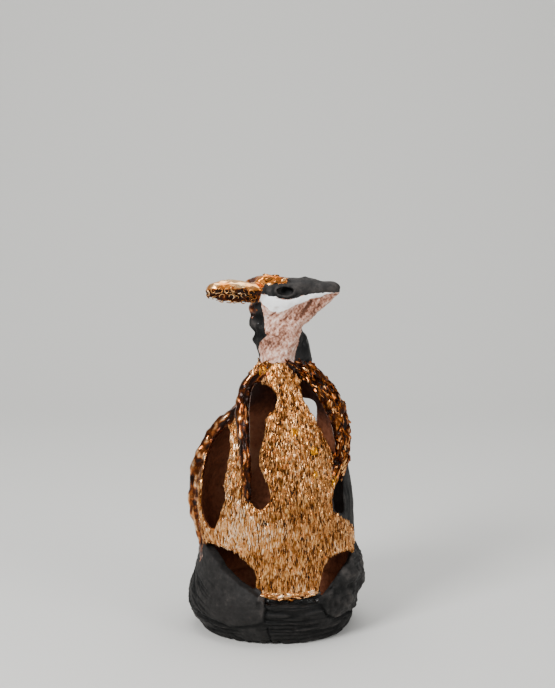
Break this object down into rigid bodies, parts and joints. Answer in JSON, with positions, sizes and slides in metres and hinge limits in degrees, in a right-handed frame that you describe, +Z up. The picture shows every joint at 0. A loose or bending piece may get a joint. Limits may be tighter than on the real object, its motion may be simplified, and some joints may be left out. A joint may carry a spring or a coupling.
{
  "type": "wallaby sculpture",
  "caption": "Hollow hand-built ceramic figure of a seated wallaby, head turned aside and ears laid back, with pierced sides and a round black base.",
  "frame": {"origin": "centre of the round underside that it stands on", "axes": "+Z up, the belly faces -Y, the muzzle points to +X"},
  "size_m": [0.29, 0.2595, 0.5757],
  "materials": {
    "glazed_clay": "copper and gold lustre on the front, matt black slip on the base and back, white and pink slip on the face and throat"
  },
  "bodies": {
    "root": {"wallaby": "glazed_clay"}
  },
  "joints": []
}
